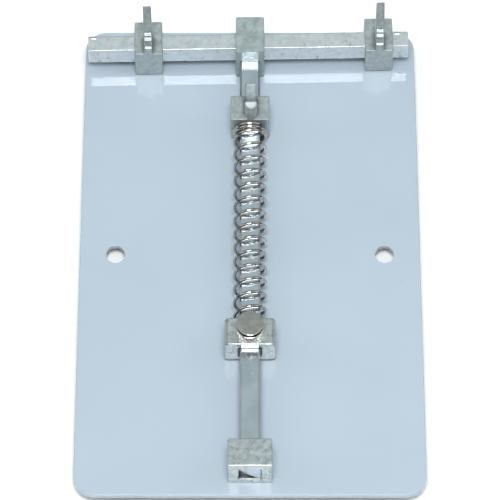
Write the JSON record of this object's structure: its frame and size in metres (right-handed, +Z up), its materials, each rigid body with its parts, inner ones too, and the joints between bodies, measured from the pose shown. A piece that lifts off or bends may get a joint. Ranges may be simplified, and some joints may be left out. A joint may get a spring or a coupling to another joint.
{
  "type": "circuit board holder vise",
  "caption": "Bench holder for small circuit boards: a flat plate with a crossbar carrying two sliding toothed jaws and a rail with a sprung toothed claw and a thumbscrew stop.",
  "frame": {"origin": "on the surface that the feet stand on, below the centre of the base plate", "axes": "+X along the crossbar to the right, +Y along the guide rail towards the crossbar, +Z up"},
  "size_m": [0.08, 0.125, 0.0262],
  "materials": {
    "painted_steel": "pale blue-white gloss paint on sheet steel",
    "zinc_casting": "bare die-cast zinc alloy, satin, slightly mottled",
    "plated_steel": "bright nickel plate, lightly scuffed",
    "zinc_plated_fasteners": "bright zinc plate",
    "rubber": "matt black rubber"
  },
  "bodies": {
    "base": {"base_plate": "painted_steel", "guide_rail": "plated_steel", "crossbar": "zinc_casting", "front_post": "zinc_casting", "rear_post": "zinc_casting", "front_post_screw": "zinc_plated_fasteners", "rear_post_screw": "zinc_plated_fasteners", "front_post_washer": "zinc_plated_fasteners", "rear_post_washer": "zinc_plated_fasteners", "front_left_foot": "rubber", "rear_left_foot": "rubber", "front_right_foot": "rubber", "rear_right_foot": "rubber"},
    "left_jaw": {"left_jaw": "zinc_casting"},
    "right_jaw": {"right_jaw": "zinc_casting"},
    "stop": {"stop_slider": "zinc_casting", "spring": "plated_steel"},
    "claw": {"centre_claw": "zinc_casting"},
    "thumbscrew_shank": {"thumbscrew_shank": "plated_steel"},
    "thumbscrew_head": {"thumbscrew_head": "plated_steel"}
  },
  "joints": [
    {"name": "left_jaw_slide", "type": "slide", "parent": "base", "child": "left_jaw", "axis": [0.9998, 0.0192, 0], "range_m": [-0.0081, 0.0175]},
    {"name": "right_jaw_slide", "type": "slide", "parent": "base", "child": "right_jaw", "axis": [0.9998, 0.0192, 0], "range_m": [-0.0241, 0.0006]},
    {"name": "stop_slide", "type": "slide", "parent": "base", "child": "stop", "axis": [0, 1, 0], "range_m": [-0.024, 0.0107]},
    {"name": "claw_slide", "type": "slide", "parent": "stop", "child": "claw", "axis": [0, 1, 0], "range_m": [-0.036, 0], "stiffness_N_per_m": 770, "deforming": ["spring"]},
    {"name": "thumbscrew_lift", "type": "slide", "parent": "stop", "child": "thumbscrew_shank", "axis": [0, 0, 1], "range_m": [0, 0.001]},
    {"name": "thumbscrew_turn", "type": "hinge", "parent": "thumbscrew_shank", "child": "thumbscrew_head", "pos_m": [0, -0.02495, 0], "axis": [0, 0, 1], "range_deg": [0, 720]}
  ],
  "couplings": [
    {"joint": "thumbscrew_turn", "follows": "thumbscrew_lift", "rad_per_m": 12560}
  ]
}
